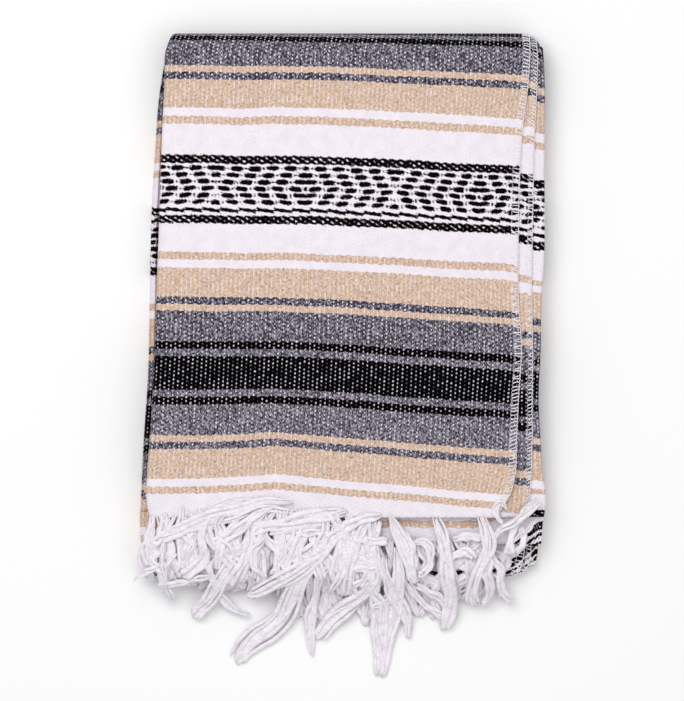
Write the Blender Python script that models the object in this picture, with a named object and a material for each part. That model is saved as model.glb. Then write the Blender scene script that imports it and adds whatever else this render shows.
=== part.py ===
"""A falsa blanket, folded: one woven cloth folded in four across and in four along, with its fringe below.

Metres, +Z up. The blanket lies flat on its underside, and the origin is the middle of that face. +Y runs to
the folded head of the stack and -Y to the fringe. Four packets lie on each other, each four layers thick.
One strip of cloth makes them all: the top packet goes round the head fold to the bottom packet, which comes
back round the foot fold as the third packet, and that goes round the inner head fold to the second.
"""

import math

import bpy
import numpy as np

MM = 0.001

# Cloth and stack
CLOTH = 2.6 * MM  # one woven layer
GAP = 0.3 * MM  # between pieces that touch
PACKET = 10.7 * MM  # four layers, pressed together
HALF = PACKET / 2
PITCH = PACKET + GAP  # from one packet to the next

# Places along the stack
HEAD_REACH = 278.6 * MM  # outermost point of the head fold
FOOT_REACH = -190.9 * MM  # outermost point of the foot fold
CLOTH_END = -139.0 * MM  # where the outer layer's weave stops and its fringe begins
SECOND_END = -138.6 * MM  # the same for the layers under it
PACKET_2_END = -162.0 * MM  # the same for the second packet, which reaches further
LIP_END = -134.0 * MM  # where the strip goes in under the second packet

# Heights of the packets' middles, and the axes of the folds
PACKET_Z = {1: HALF + 3 * PITCH, 2: HALF + 2 * PITCH, 3: HALF + PITCH, 4: HALF}
HEAD_TURN = 1.5 * PITCH
FOOT_TURN = 0.5 * PITCH
STACK_MIDDLE = HALF + 1.5 * PITCH
HEAD_AXIS_Y = HEAD_REACH - HEAD_TURN - HALF
FOOT_AXIS_Y = FOOT_REACH + FOOT_TURN + HALF
FOOT_AXIS_Z = HALF + 0.5 * PITCH

# Edges of the top packet in millimetres: its rounded left fold, the outer layer's free edge, the second
# layer's free edge, and the fold of the third and fourth layers.
TOP_EDGES = (
    # y, left, first, second, fold
    (-141.0, -163.4, 132.4, 160.8, 177.0),
    (-130.7, -165.6, 138.5, 161.7, 177.3),
    (-119.5, -166.8, 145.3, 163.0, 177.3),
    (-106.6, -166.4, 149.2, 163.8, 175.4),
    (-72.2, -163.8, 151.4, 165.1, 172.9),
    (-37.8, -161.7, 153.1, 165.1, 171.1),
    (5.2, -159.5, 155.7, 165.6, 172.9),
    (48.2, -158.2, 153.1, 164.7, 173.7),
    (91.2, -156.5, 153.1, 165.1, 176.3),
    (142.8, -154.8, 153.9, 166.0, 176.3),
    (194.4, -153.1, 156.5, 167.3, 176.3),
    (237.4, -150.9, 161.7, 169.4, 176.3),
    (263.2, -150.3, 163.2, 169.6, 174.6),
    (278.6, -146.5, 163.0, 168.5, 171.0),
)
# The same edges where the strip is the bottom packet and the lip at the foot.
LOWER_EDGES = (
    # y, left, first, second, fold
    (-190.9, -163.5, 151.0, 157.0, 162.5),
    (-185.8, -167.2, 155.0, 161.0, 166.8),
    (-175.4, -169.8, 158.0, 164.0, 170.3),
    (-158.2, -172.4, 159.5, 165.2, 171.6),
    (-132.4, -172.9, 159.1, 164.3, 172.0),
    (-106.6, -172.0, 157.5, 163.6, 171.2),
    (-72.2, -170.3, 156.6, 162.8, 170.3),
    (-20.6, -166.8, 157.4, 163.4, 169.8),
    (48.2, -165.1, 158.6, 164.4, 170.3),
    (126.0, -163.4, 160.0, 165.6, 171.1),
    (177.0, -160.4, 161.0, 166.6, 172.0),
    (226.0, -156.8, 162.0, 167.6, 172.6),
    (263.2, -150.3, 163.2, 169.6, 174.6),
    (278.6, -146.5, 163.0, 168.5, 171.0),
)
COLUMNS = ("y", "left", "first", "second", "fold")

# Stations along the strip
TOP_STATIONS = 18
BOTTOM_STATIONS = 11
LIP_STATIONS = 4
HEAD_STEPS = 8
FOOT_STEPS = 6
INNER_STATIONS = 14
INNER_STEPS = 6
ACROSS = (0.14, 0.29, 0.44, 0.58, 0.70, 0.81, 0.91)  # section points across, from the left fold
STRIP_ACROSS = (0.35, 0.7)  # the same across the second layer's strip
STEP_AFTER = 5  # how many of the points across lie left of that strip
STRIP_WIDTH = 62.0 * MM  # how far the second layer's strip runs in under the first
NOSE_STEPS = 6  # segments round a fold at a side
NOSE_TOP = 90  # degrees, where a left fold leaves the upper face
NOSE_END = 265  # degrees, where the outer layer's left fold ends, just short of the layers beside it
NOSE_BOTTOM = 270  # degrees, where a whole packet's left fold reaches the lower face
NOSE_GAP = 3.0 * MM  # from a side fold's inner end to the layers beside it
EDGE_ROUND = 0.8 * MM  # rounding of a free edge
SHARP = math.radians(50)  # edges sharper than this stay crisp

# The inner packets lie in line with the bottom one at the lip, and with the top one from here on
INNER_IN_LINE_Y = -100.0 * MM

# How the stack settles: thinner to the right, where fewer layers lie, and softly uneven
RIGHT_DROP = 0.10
RIGHT_DROP_FROM = 120.0 * MM
RIGHT_DROP_WIDTH = 58.0 * MM
FOOT_DROP = 0.05
FOOT_DROP_FROM = -60.0 * MM
FOOT_DROP_WIDTH = 85.0 * MM
UNEVEN = (
    # share of the height, waves across per metre, waves along per metre, phase
    (0.013, 2.4, 3.1, 0.6),
    (0.008, 4.4, -2.3, 2.1),
    (0.006, -3.2, 5.1, 4.0),
)

# Fringe
STRIP_LENGTH = 2.6 * MM
STRAND_GAP = 1.5 * MM
TIP_WIDTH = 3.2 * MM
TIP_PITCH = 4.3 * MM
TIP_HEIGHT = 2.0 * MM
STRAND_HEIGHT = 2.9 * MM
TIP_ROUNDING = 0.35  # how much shorter a strand is for each length that it lies off its lock's middle
# Height of the middle of each row's strands: over the lip, down past the foot fold, and out on the surface.
# Every strand has a ring at each of these y, so a row stays above the next one all the way.
ROW_HEIGHTS = (
    # y, upper, middle, lower
    (-139.0, 42.3, 36.6, 27.6),
    (-151.0, 40.8, 36.0, 27.4),
    (-164.0, 39.4, 34.8, 26.9),
    (-173.0, 36.4, 31.8, 26.2),
    (-182.0, 33.8, 29.2, 24.6),
    (-190.0, 31.0, 25.6, 20.2),
    (-198.0, 25.2, 18.6, 12.2),
    (-206.0, 17.6, 10.6, 4.4),
    (-216.0, 10.2, 4.6, 1.8),
    (-232.0, 4.6, 1.8, 1.5),
    (-252.0, 2.0, 1.5, 1.5),
    (-284.0, 1.6, 1.5, 1.5),
)
# Locks, from left to right: how many strands run together, where their tip is, and how far the lock bows.
UPPER_LOCKS = (
    # strands, tip x, tip y, bow
    (3, -146.0, -213.0, 5.0),
    (4, -126.0, -228.5, 4.0),
    (5, -88.0, -268.0, 8.0),
    (4, -25.0, -260.0, -6.0),
    (5, 34.0, -278.6, 2.0),
    (4, 87.0, -241.0, 4.0),
    (3, 117.0, -219.5, -3.0),
)
MIDDLE_LOCKS = (
    # strands, tip x, tip y, bow
    (3, -171.2, -205.0, -5.0),
    (3, -150.0, -211.0, 2.0),
    (4, -79.0, -224.5, -8.0),
    (4, -52.0, -213.0, 3.0),
    (4, 8.0, -231.0, -5.0),
    (4, 62.0, -246.0, 4.0),
    (4, 112.0, -215.0, 5.0),
    (3, 150.0, -217.5, 2.0),
)
LOWER_LOCKS = (
    # strands, tip x, tip y, bow
    (4, -148.0, -203.5, 2.0),
    (4, -112.0, -208.5, -3.0),
    (4, -58.0, -205.0, 3.0),
    (4, -12.0, -209.5, -3.0),
    (4, 38.0, -206.0, 2.0),
    (4, 88.0, -209.0, 3.0),
    (4, 138.0, -205.5, -2.0),
)

CLOTH_COLOUR = (0.52, 0.47, 0.44, 1.0)
INNER_COLOUR = (0.42, 0.39, 0.38, 1.0)
FRINGE_COLOUR = (0.90, 0.88, 0.91, 1.0)
CLOTH_ROUGHNESS = 0.92
FRINGE_ROUGHNESS = 0.85


def edges_at(table, y):
    """The left, first, second and fold edges of a table at each y, in metres, one column each."""
    rows = np.array(table) * MM
    order = np.argsort(rows[:, 0])
    rows = rows[order]
    return np.stack([np.interp(y, rows[:, 0], rows[:, k]) for k in range(1, len(COLUMNS))], axis=1)


def straight(y_from, y_to, z, heading, steps, share):
    """Stations along a flat run at height z: y, z, the outward direction in y and z, and the lower share."""
    y = np.linspace(y_from, y_to, steps + 1)
    ones = np.ones_like(y)
    return np.stack([y, z * ones, 0 * ones, heading * ones, share * ones], axis=1)


def turn(axis_y, axis_z, radius, angles, side, shares):
    """Stations round a fold's axis. side is 1 where the outer layer lies outside the fold, -1 inside it."""
    cos = np.cos(angles)
    sin = np.sin(angles)
    return np.stack(
        [axis_y + radius * cos, axis_z + radius * sin, side * cos, side * sin, shares], axis=1
    )


def outer_strip(end):
    """Stations of the strip from its end on top, round the head, along the bottom and round the foot."""
    quarter = math.pi / 2
    head = np.linspace(quarter, -quarter, HEAD_STEPS + 1)[1:-1]
    foot = np.linspace(-quarter, -3 * quarter, FOOT_STEPS + 1)[1:-1]
    return np.concatenate(
        [
            straight(end, HEAD_AXIS_Y, PACKET_Z[1], 1, TOP_STATIONS, 0.0),
            turn(
                HEAD_AXIS_Y,
                STACK_MIDDLE,
                HEAD_TURN,
                head,
                1,
                np.linspace(0, 1, HEAD_STEPS + 1)[1:-1],
            ),
            straight(HEAD_AXIS_Y, FOOT_AXIS_Y, PACKET_Z[4], -1, BOTTOM_STATIONS, 1.0),
            turn(FOOT_AXIS_Y, FOOT_AXIS_Z, FOOT_TURN, foot, 1, np.ones(FOOT_STEPS - 1)),
            straight(FOOT_AXIS_Y, LIP_END - GAP, PACKET_Z[3], 1, LIP_STATIONS, 1.0),
        ]
    )


def inner_strip():
    """Stations of the third packet from the lip, round the inner head fold, and back as the second."""
    quarter = math.pi / 2
    head = np.linspace(-quarter, quarter, INNER_STEPS + 1)[1:-1]
    third = straight(LIP_END, HEAD_AXIS_Y, PACKET_Z[3], 1, INNER_STATIONS, 0.0)
    third[:, 4] = np.interp(third[:, 0], [LIP_END, INNER_IN_LINE_Y], [1.0, 0.0])
    return np.concatenate(
        [
            third,
            turn(HEAD_AXIS_Y, STACK_MIDDLE, FOOT_TURN, head, -1, np.zeros(INNER_STEPS - 1)),
            straight(HEAD_AXIS_Y, PACKET_2_END, PACKET_Z[2], -1, INNER_STATIONS, 0.0),
        ]
    )


def at(edge, offset, depth, other=None, share=0.0):
    """A section point: beside an edge, or a share of the way from that edge to another, at a depth."""
    weights = np.zeros(len(COLUMNS) - 1)
    weights[COLUMNS.index(edge) - 1] += 1 - share
    weights[COLUMNS.index(other or edge) - 1] += share
    return (*weights, offset, depth)


def nose(radius, start, end):
    """Section points round a fold at the left edge, from one angle to another in degrees."""
    angles = np.radians(np.linspace(start, end, NOSE_STEPS + 1))
    return [at("left", HALF + radius * math.cos(a), radius * math.sin(a)) for a in angles]


def free_edge(edge, top, bottom):
    """Section points round a free edge, from its upper face to its lower one."""
    return [
        at(edge, -EDGE_ROUND, top),
        at(edge, 0, top - EDGE_ROUND),
        at(edge, 0, bottom + EDGE_ROUND),
        at(edge, -EDGE_ROUND, bottom),
    ]


def folded_edge(edge, top, bottom):
    """Section points round a fold of two layers at the right, from its upper face to its lower one."""
    radius = (top - bottom) / 2
    middle = (top + bottom) / 2
    angles = np.radians(np.linspace(90, -90, NOSE_STEPS))
    return [
        at(edge, radius * (math.cos(a) - 1), middle + radius * math.sin(a)) for a in angles
    ]


def across(edge, depth):
    """Section points across a face, from the left fold towards an edge at the right."""
    return [at("left", HALF * (1 - share), depth, edge, share) for share in ACROSS]


def outer_section():
    """The outer layer: a wall over the packet, with a half-round fold down its left side."""
    inside = HALF - CLOTH
    return np.array(
        free_edge("first", HALF, inside)
        + across("first", inside)[::-1]
        + nose(inside, NOSE_TOP, NOSE_END)
        + nose(HALF, NOSE_END, NOSE_TOP)
        + across("first", HALF)
    )


def second_section():
    """The second layer where it shows: a flat strip under the first, out to its own free edge."""
    top = HALF - CLOTH - GAP
    bottom = top - CLOTH
    inner = [at("second", -STRIP_WIDTH * (1 - share), bottom) for share in STRIP_ACROSS]
    upper = [at("second", -STRIP_WIDTH * (1 - share), top) for share in STRIP_ACROSS]
    return np.array(
        free_edge("second", top, bottom)
        + inner[::-1]
        + [at("second", -STRIP_WIDTH, bottom), at("second", -STRIP_WIDTH, top)]
        + upper
    )


def hidden_section():
    """The packet's hidden layers as one solid: a step for the second layer, and a fold at the right."""
    top = HALF - CLOTH - GAP
    step = top - CLOTH - GAP
    return np.array(
        folded_edge("fold", step, -HALF)
        + across("fold", -HALF)[::-1]
        + [at("left", HALF + NOSE_GAP, -HALF), at("left", HALF + NOSE_GAP, top)]
        + across("first", top)[:STEP_AFTER]
        + [at("second", -STRIP_WIDTH - NOSE_GAP, top), at("second", -STRIP_WIDTH - NOSE_GAP, step)]
        + [at("second", -STRIP_WIDTH * (1 - share), step) for share in STRIP_ACROSS]
    )


def packet_section():
    """A whole packet as one solid: a fold at the left, and three layers stepping out at the right."""
    second_top = HALF - CLOTH
    third_top = HALF - 2 * CLOTH
    return np.array(
        free_edge("first", HALF, second_top)
        + free_edge("second", second_top, third_top)
        + folded_edge("fold", third_top, -HALF)
        + across("fold", -HALF)[::-1]
        + nose(HALF, NOSE_BOTTOM, NOSE_TOP)
        + across("first", HALF)
    )


def swept(stations, section):
    """Carries a section along stations. A point stands across at its edge's x, and its depth outwards."""
    y, z, out_y, out_z, lower = stations.T
    reach = y + out_y * HALF
    edges = (1 - lower)[:, None] * edges_at(TOP_EDGES, reach)
    edges += lower[:, None] * edges_at(LOWER_EDGES, reach)
    x = edges @ section[:, :4].T + section[:, 4]
    depth = section[:, 5]
    return np.stack(
        [x, y[:, None] + out_y[:, None] * depth, z[:, None] + out_z[:, None] * depth], axis=2
    )


def settled(points):
    """Lowers each height by a share that depends on where the point is, so that the underside stays flat."""
    x, y, z = np.moveaxis(points, -1, 0)
    right = np.clip((x - RIGHT_DROP_FROM) / RIGHT_DROP_WIDTH, 0, 1)
    foot = np.clip((FOOT_DROP_FROM - y) / FOOT_DROP_WIDTH, 0, 1)
    share = 1 - RIGHT_DROP * right**2 - FOOT_DROP * foot**2
    for size, across, along, phase in UNEVEN:
        share += size * np.sin(2 * math.pi * (across * x + along * y) + phase)
    return np.stack([x, y, z * share], axis=-1)


def new_piece(name, points, faces, colour, roughness):
    """A mesh object of these points and faces, settled, smooth, with its own material."""
    mesh = bpy.data.meshes.new(name)
    mesh.from_pydata(settled(np.asarray(points)).tolist(), [], faces)
    mesh.update()
    mesh.shade_smooth()
    mesh.set_sharp_from_angle(angle=SHARP)
    material = bpy.data.materials.new(name + "_finish")
    material.use_nodes = True
    shader = material.node_tree.nodes["Principled BSDF"]
    shader.inputs["Base Color"].default_value = colour
    shader.inputs["Roughness"].default_value = roughness
    shader.inputs["Metallic"].default_value = 0.0
    mesh.materials.append(material)
    piece = bpy.data.objects.new(name, mesh)
    bpy.context.scene.collection.objects.link(piece)
    return piece


def cloth_piece(name, stations, section, colour):
    """A closed solid of the section's rings, joined from station to station, with a cap at each end."""
    rings = swept(stations, section)
    count, size = rings.shape[:2]
    near = np.arange(size)
    beyond = np.roll(near, -1)
    faces = []
    for k in range(count - 1):
        row = k * size
        quads = np.stack([row + near, row + beyond, row + size + beyond, row + size + near], axis=1)
        faces.extend(quads.tolist())
    faces.append(near[::-1].tolist())
    faces.append(((count - 1) * size + near).tolist())
    return new_piece(name, rings.reshape(-1, 3), faces, colour, CLOTH_ROUGHNESS)


def strand_rings(root, tip, width, heights, bow):
    """Four-sided rings from a root to a tip. The path eases over to the tip with a sideways bow."""
    between = (heights[:, 0] < root[1] - STRAND_GAP) & (heights[:, 0] > tip[1] + STRAND_GAP)
    y = np.append(heights[between, 0], tip[1])
    t = (y - root[1]) / (tip[1] - root[1])
    ease = t * t * (3 - 2 * t)
    x = root[0] + (tip[0] - root[0]) * ease + bow * np.sin(math.pi * t) ** 2
    z = np.interp(-y, -heights[:, 0], heights[:, 1])
    path = np.stack([x, y, z], axis=1)
    ahead = np.gradient(np.vstack([[root[0], root[1], heights[0, 1]], path]), axis=0)[1:]
    side = np.stack([-ahead[:, 1], ahead[:, 0], 0 * t], axis=1)
    side /= np.linalg.norm(side, axis=1)[:, None]
    up = np.cross(ahead, side)
    up /= np.linalg.norm(up, axis=1)[:, None]
    up *= np.sign(up[:, 2:])
    wide = (width + (TIP_WIDTH - width) * t)[:, None] / 2
    tall = (STRAND_HEIGHT + (TIP_HEIGHT - STRAND_HEIGHT) * t)[:, None] / 2
    return np.stack(
        [
            path - wide * side - tall * up,
            path + wide * side - tall * up,
            path + wide * side + tall * up,
            path - wide * side + tall * up,
        ],
        axis=1,
    )


def fringe_row(name, locks, start, left, right, column):
    """One row of strands that grow out of a narrow strip at the cloth's end, gathered into locks."""
    table = np.array(ROW_HEIGHTS) * MM
    heights = table[:, [0, column]]
    level = np.interp(-start, -table[:, 0], table[:, column])
    total = sum(strands for strands, *_ in locks)
    pitch = (right - left) / total
    width = pitch - STRAND_GAP
    front = start - STRIP_LENGTH
    low = level - STRAND_HEIGHT / 2
    high = level + STRAND_HEIGHT / 2
    cuts = [left]
    for k in range(total):
        cuts += [left + k * pitch + STRAND_GAP / 2, left + (k + 1) * pitch - STRAND_GAP / 2]
    cuts.append(right)
    points = []
    for x in cuts:
        points += [(x, start, low), (x, front, low), (x, front, high), (x, start, high)]
    faces = [[0, 1, 2, 3]]
    last = 4 * (len(cuts) - 1)
    faces.append([last + 3, last + 2, last + 1, last])
    for k in range(len(cuts) - 1):
        a = 4 * k
        b = a + 4
        faces.append([a + 3, a + 2, b + 2, b + 3])
        faces.append([a + 1, a, b, b + 1])
        faces.append([a, a + 3, b + 3, b])
        if k % 2 == 0:
            faces.append([a + 2, a + 1, b + 1, b + 2])
    strand = 0
    for strands, tip_x, tip_y, bow in locks:
        for k in range(strands):
            root = (left + (strand + 0.5) * pitch, front)
            spread = (k - (strands - 1) / 2) * TIP_PITCH
            tip = (tip_x * MM + spread, tip_y * MM + TIP_ROUNDING * abs(spread))
            rings = strand_rings(root, tip, width, heights, bow * MM)
            corner = 4 * (2 * strand + 1)
            back = [corner + 1, corner + 5, corner + 6, corner + 2]
            for ring in rings:
                base = len(points)
                points += [tuple(p) for p in ring]
                ahead = [base, base + 1, base + 2, base + 3]
                for j in range(4):
                    n = (j + 1) % 4
                    faces.append([back[j], back[n], ahead[n], ahead[j]])
                back = ahead
            faces.append(back)
            strand += 1
    return new_piece(name, points, faces, FRINGE_COLOUR, FRINGE_ROUGHNESS)


def main():
    for item in list(bpy.data.objects):
        bpy.data.objects.remove(item, do_unlink=True)
    cloth_piece("sheet_1", outer_strip(CLOTH_END), outer_section(), CLOTH_COLOUR)
    cloth_piece("sheet_2", outer_strip(SECOND_END), second_section(), CLOTH_COLOUR)
    cloth_piece("fold_3", outer_strip(SECOND_END), hidden_section(), INNER_COLOUR)
    cloth_piece("inner_fold", inner_strip(), packet_section(), INNER_COLOUR)
    fringe_row("fringe_upper", UPPER_LOCKS, CLOTH_END - GAP, -158.0 * MM, 130.0 * MM, 1)
    fringe_row("fringe_middle", MIDDLE_LOCKS, SECOND_END - GAP, -157.0 * MM, 158.0 * MM, 2)
    fringe_row("fringe_lower", LOWER_LOCKS, PACKET_2_END - GAP, -160.0 * MM, 158.0 * MM, 3)


main()
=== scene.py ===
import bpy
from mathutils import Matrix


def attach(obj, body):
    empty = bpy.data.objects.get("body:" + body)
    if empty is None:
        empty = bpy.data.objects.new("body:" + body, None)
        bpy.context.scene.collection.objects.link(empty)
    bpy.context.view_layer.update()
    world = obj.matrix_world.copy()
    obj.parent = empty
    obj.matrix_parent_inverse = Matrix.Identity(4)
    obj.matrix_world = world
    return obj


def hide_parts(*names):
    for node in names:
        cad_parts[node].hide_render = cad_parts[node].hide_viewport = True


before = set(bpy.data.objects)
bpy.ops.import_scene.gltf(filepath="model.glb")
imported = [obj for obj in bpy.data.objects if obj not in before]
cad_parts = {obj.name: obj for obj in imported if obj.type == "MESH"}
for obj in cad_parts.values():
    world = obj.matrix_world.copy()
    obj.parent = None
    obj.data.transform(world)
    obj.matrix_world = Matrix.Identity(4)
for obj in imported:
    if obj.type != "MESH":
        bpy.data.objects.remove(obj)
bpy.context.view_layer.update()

import math

import bpy
import numpy as np

# The woven cloth, folded
# One loom-woven cloth, folded in four across and in four along. Its way through the stack is one strip: the
# top packet, round the head fold, the bottom packet, round the foot fold, and the lip under the fringe. The
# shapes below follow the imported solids, with finer steps, soft creases and a thin wall.
MM = 0.001
CLOTH = 2.6 * MM
GAP = 0.3 * MM
PACKET = 10.7 * MM
HALF = PACKET / 2
PITCH = PACKET + GAP
HEAD_REACH = 278.6 * MM
FOOT_REACH = -190.9 * MM
CLOTH_END = -139.0 * MM
SECOND_END = -138.6 * MM
PACKET_2_END = -162.0 * MM
LIP_END = -134.0 * MM
INNER_IN_LINE_Y = -100.0 * MM
PACKET_Z = {1: HALF + 3 * PITCH, 2: HALF + 2 * PITCH, 3: HALF + PITCH, 4: HALF}
HEAD_TURN = 1.5 * PITCH
FOOT_TURN = 0.5 * PITCH
STACK_MIDDLE = HALF + 1.5 * PITCH
HEAD_AXIS_Y = HEAD_REACH - HEAD_TURN - HALF
FOOT_AXIS_Y = FOOT_REACH + FOOT_TURN + HALF
FOOT_AXIS_Z = HALF + 0.5 * PITCH

# y, left fold, free edge of the outer layer, free edge of the second layer, fold of the inner layers
TOP_EDGES = np.array([
    (-162.0, -163.9, 132.4, 160.8, 173.6),
    (-141.0, -163.4, 132.4, 160.8, 175.4),
    (-130.7, -165.6, 138.5, 161.7, 177.0),
    (-119.5, -166.8, 145.3, 163.0, 177.3),
    (-106.6, -166.4, 149.2, 163.8, 175.4),
    (-72.2, -163.8, 151.4, 165.1, 172.9),
    (-37.8, -161.7, 153.1, 165.1, 171.1),
    (5.2, -159.5, 155.7, 165.6, 172.9),
    (48.2, -158.2, 153.1, 164.7, 173.7),
    (91.2, -156.5, 153.1, 165.1, 176.3),
    (142.8, -154.8, 153.9, 166.0, 176.3),
    (194.4, -153.1, 156.5, 167.3, 176.3),
    (237.4, -150.9, 161.7, 169.4, 176.3),
    (263.2, -150.3, 163.2, 169.6, 174.6),
    (278.6, -146.5, 163.0, 168.5, 171.0),
]) * MM
LOWER_EDGES = np.array([
    (-190.9, -163.5, 151.0, 157.0, 162.5),
    (-185.8, -167.2, 155.0, 161.0, 166.8),
    (-175.4, -169.8, 158.0, 164.0, 170.3),
    (-158.2, -172.4, 159.5, 165.2, 171.6),
    (-132.4, -172.9, 159.1, 164.3, 172.0),
    (-106.6, -172.0, 157.5, 163.6, 171.2),
    (-72.2, -170.3, 156.6, 162.8, 170.3),
    (-20.6, -166.8, 157.4, 163.4, 169.8),
    (48.2, -165.1, 158.6, 164.4, 170.3),
    (126.0, -163.4, 160.0, 165.6, 171.1),
    (177.0, -160.4, 161.0, 166.6, 172.0),
    (226.0, -156.8, 162.0, 167.6, 172.6),
    (263.2, -150.3, 163.2, 169.6, 174.6),
    (278.6, -146.5, 163.0, 168.5, 171.0),
]) * MM
LEFT, FIRST, SECOND, FOLD = range(4)
CLOTH_WIDTH = 310.0 * MM  # of one layer, from the inner side of the left fold to a free edge
PULL_WIDTH = 90.0 * MM  # how far in from a free edge its pull is felt


def through(x, knots, values):
    """A smooth curve through knots: on each stretch a cubic whose end slopes are the knots' mean slopes."""
    slopes = np.gradient(values, knots)
    k = np.clip(np.searchsorted(knots, x) - 1, 0, len(knots) - 2)
    step = knots[k + 1] - knots[k]
    t = np.clip((x - knots[k]) / step, 0, 1)
    start = (1 + 2 * t) * (1 - t) ** 2 * values[k] + t * (1 - t) ** 2 * step * slopes[k]
    end = t**2 * (3 - 2 * t) * values[k + 1] + t**2 * (t - 1) * step * slopes[k + 1]
    return start + end


def eased(x):
    """0 below 0, 1 above 1, and 3x^2 - 2x^3 between."""
    x = np.clip(x, 0, 1)
    return x * x * (3 - 2 * x)


def flat_run(y_from, y_to, z, heading, step, share):
    """Stations along a flat run: y, z, outward y, outward z, and the share of the lower edges."""
    count = max(2, int(round(abs(y_to - y_from) / step)))
    y = np.linspace(y_from, y_to, count + 1)
    ones = np.ones_like(y)
    return np.stack([y, z * ones, 0 * ones, heading * ones, share * ones], axis=1)


def bend(axis_y, axis_z, radius, start, end, steps, side, shares):
    """Stations round an axis, from one angle to another in degrees, without the two end ones."""
    angles = np.radians(np.linspace(start, end, steps + 1))[1:-1]
    cos = np.cos(angles)
    sin = np.sin(angles)
    lower = np.linspace(*shares, steps + 1)[1:-1]
    return np.stack([axis_y + radius * cos, axis_z + radius * sin, side * cos, side * sin, lower], axis=1)


def outer_strip(end, step):
    """The strip's stations from its end on top, round the head, along the bottom, and round the foot."""
    return np.concatenate([
        flat_run(end, HEAD_AXIS_Y, PACKET_Z[1], 1, step, 0.0),
        bend(HEAD_AXIS_Y, STACK_MIDDLE, HEAD_TURN, 90, -90, 30, 1, (0, 1)),
        flat_run(HEAD_AXIS_Y, FOOT_AXIS_Y, PACKET_Z[4], -1, 2 * step, 1.0),
        bend(FOOT_AXIS_Y, FOOT_AXIS_Z, FOOT_TURN, -90, -270, 14, 1, (1, 1)),
        flat_run(FOOT_AXIS_Y, LIP_END - GAP, PACKET_Z[3], 1, step, 1.0),
    ])


def cloth_used(stations, depth=HALF):
    """How much cloth lies before each station: the length of the line at that depth."""
    line = stations[:, :2] + depth * stations[:, 2:4]
    return np.concatenate([[0], np.cumsum(np.linalg.norm(np.diff(line, axis=0), axis=1))])


# Ridges and troughs: from x, y to x, y, half width, and height as a share of the stack's
CREASES = (
    (-52, -139, -44, -60, 16, 0.024),
    (-128, -139, -134, -20, 17, -0.020),
    (18, -139, 30, -84, 13, -0.016),
    (74, -139, 62, -70, 15, 0.018),
    (-150, 40, 60, 62, 26, -0.012),
    (-20, 110, 150, 92, 24, 0.012),
    (-140, 150, -10, 168, 22, 0.010),
    (30, 205, 150, 190, 24, -0.012),
    (-90, 225, 10, 232, 20, 0.010),
    (118, -40, 128, 60, 12, -0.014),
    (104, 120, 122, 230, 13, 0.012),
    (-60, -30, 90, -44, 22, 0.012),
)
# Waves over the whole stack: share, waves a metre across and along, and phase
UNEVEN = ((0.013, 2.4, 3.1, 0.6), (0.008, 4.4, -2.3, 2.1), (0.006, -3.2, 5.1, 4.0))
RIPPLES = ((0.0035, 19.0, 6.0, 0.3), (0.003, -8.0, 23.0, 1.9), (0.002, 31.0, -17.0, 3.3))

# Where the stack sinks: from where on, over what length, and by what share of its height
RIGHT_SINK = (120.0 * MM, 58.0 * MM, 0.10)
FOOT_SINK = (60.0 * MM, 85.0 * MM, 0.05)


def line_distance(x, y, line):
    """How far places lie from the straight line between two others."""
    x0, y0, x1, y1 = line
    dx = x1 - x0
    dy = y1 - y0
    t = np.clip(((x - x0) * dx + (y - y0) * dy) / (dx * dx + dy * dy), 0, 1)
    return np.hypot(x - x0 - t * dx, y - y0 - t * dy)


def settled(points):
    """Scales each height by a share of its place: lower at the right and the foot, with waves and creases.

    A crease's share falls off as exp(-(distance from its line / half width)^2). The underside stays flat.
    """
    x, y, z = np.moveaxis(points, -1, 0)
    right = np.clip((x - RIGHT_SINK[0]) / RIGHT_SINK[1], 0, 1)
    foot = np.clip((-y - FOOT_SINK[0]) / FOOT_SINK[1], 0, 1)
    share = 1 - RIGHT_SINK[2] * right**2 - FOOT_SINK[2] * foot**2
    for size, across, along, phase in UNEVEN + RIPPLES:
        share = share + size * np.sin(2 * math.pi * (across * x + along * y) + phase)
    for *line, width, size in CREASES:
        apart = line_distance(x, y, np.array(line) * MM)
        share = share + size * np.exp(-((apart / (width * MM)) ** 2))
    return np.stack([x, y, z * share], axis=-1)


# Stripes: how far each line of the weave lies below its place at the left of the photograph, in pixels of
# 0.86 mm. The cloth lies turned a little, and its lines dip and rise where it was pulled.
PIXEL = 0.86 * MM
PHOTO_ZERO = np.array([340.0, 356.0])  # the photograph's place of the origin


def from_photo(points):
    """Places in the photograph, x and y down, as places on the blanket."""
    return (np.asarray(points, dtype=float) - PHOTO_ZERO) * (PIXEL, -PIXEL)


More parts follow.
